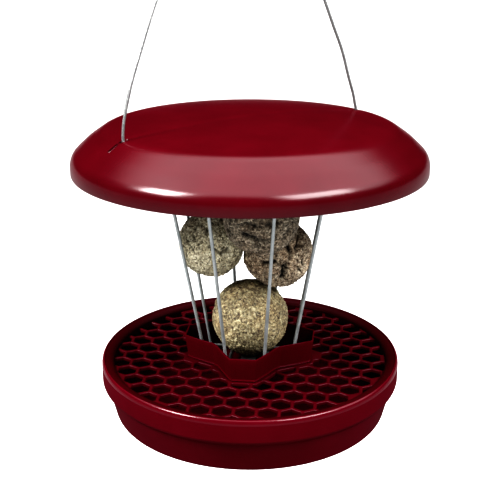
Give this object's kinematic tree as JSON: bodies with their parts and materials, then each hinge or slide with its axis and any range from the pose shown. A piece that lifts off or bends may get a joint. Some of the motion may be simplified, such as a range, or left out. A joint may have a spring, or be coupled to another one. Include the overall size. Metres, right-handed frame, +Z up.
{
  "type": "hanging suet ball feeder",
  "caption": "Hanging suet ball feeder: a wire cage of suet balls in a lobed socket on a honeycomb perch grid over a seed tray, under a round roof that slides up its cable.",
  "frame": {"origin": "top of the cable loop, on the feeder's axis, where it hangs from a hook", "axes": "+Z up along the feeder's axis; -Y is the side seen in the picture; +X to its right"},
  "size_m": [0.28, 0.28, 0.414],
  "materials": {
    "burgundy_plastic": "glossy moulded plastic",
    "galvanised_wire": "galvanised, dull grey",
    "plated_steel": "zinc plated",
    "steel_cable": "twisted steel strands, satin",
    "suet_and_seed": "rough pressed seed and fat"
  },
  "bodies": {
    "feeder": {"seed_tray": "burgundy_plastic", "perch_grid": "burgundy_plastic", "cage_socket": "burgundy_plastic", "cage_wire_1": "galvanised_wire", "cage_wire_2": "galvanised_wire", "cage_wire_3": "galvanised_wire", "cage_wire_4": "galvanised_wire", "cage_wire_5": "galvanised_wire", "cage_wire_6": "galvanised_wire", "cage_wire_7": "galvanised_wire", "cage_wire_8": "galvanised_wire", "cage_floor_wire_1": "galvanised_wire", "cage_floor_wire_2": "galvanised_wire", "cage_floor_wire_3": "galvanised_wire", "cage_floor_wire_4": "galvanised_wire", "cage_top_ring": "galvanised_wire", "cage_floor_clamp": "plated_steel", "tray_bolt": "plated_steel", "bolt_washer": "plated_steel", "clamp_nut": "plated_steel", "hanger_arm_left": "plated_steel", "hanger_arm_right": "plated_steel", "cable_ferrule_left": "plated_steel", "cable_ferrule_right": "plated_steel", "cable": "steel_cable", "suet_ball_1": "suet_and_seed", "suet_ball_2": "suet_and_seed", "suet_ball_3": "suet_and_seed", "suet_ball_4": "suet_and_seed"},
    "roof": {"roof": "burgundy_plastic"}
  },
  "joints": [
    {"name": "roof_slide", "type": "slide", "parent": "feeder", "child": "roof", "axis": [0, 0, 1], "range_m": [0, 0.1], "deforming": ["cable"]}
  ]
}
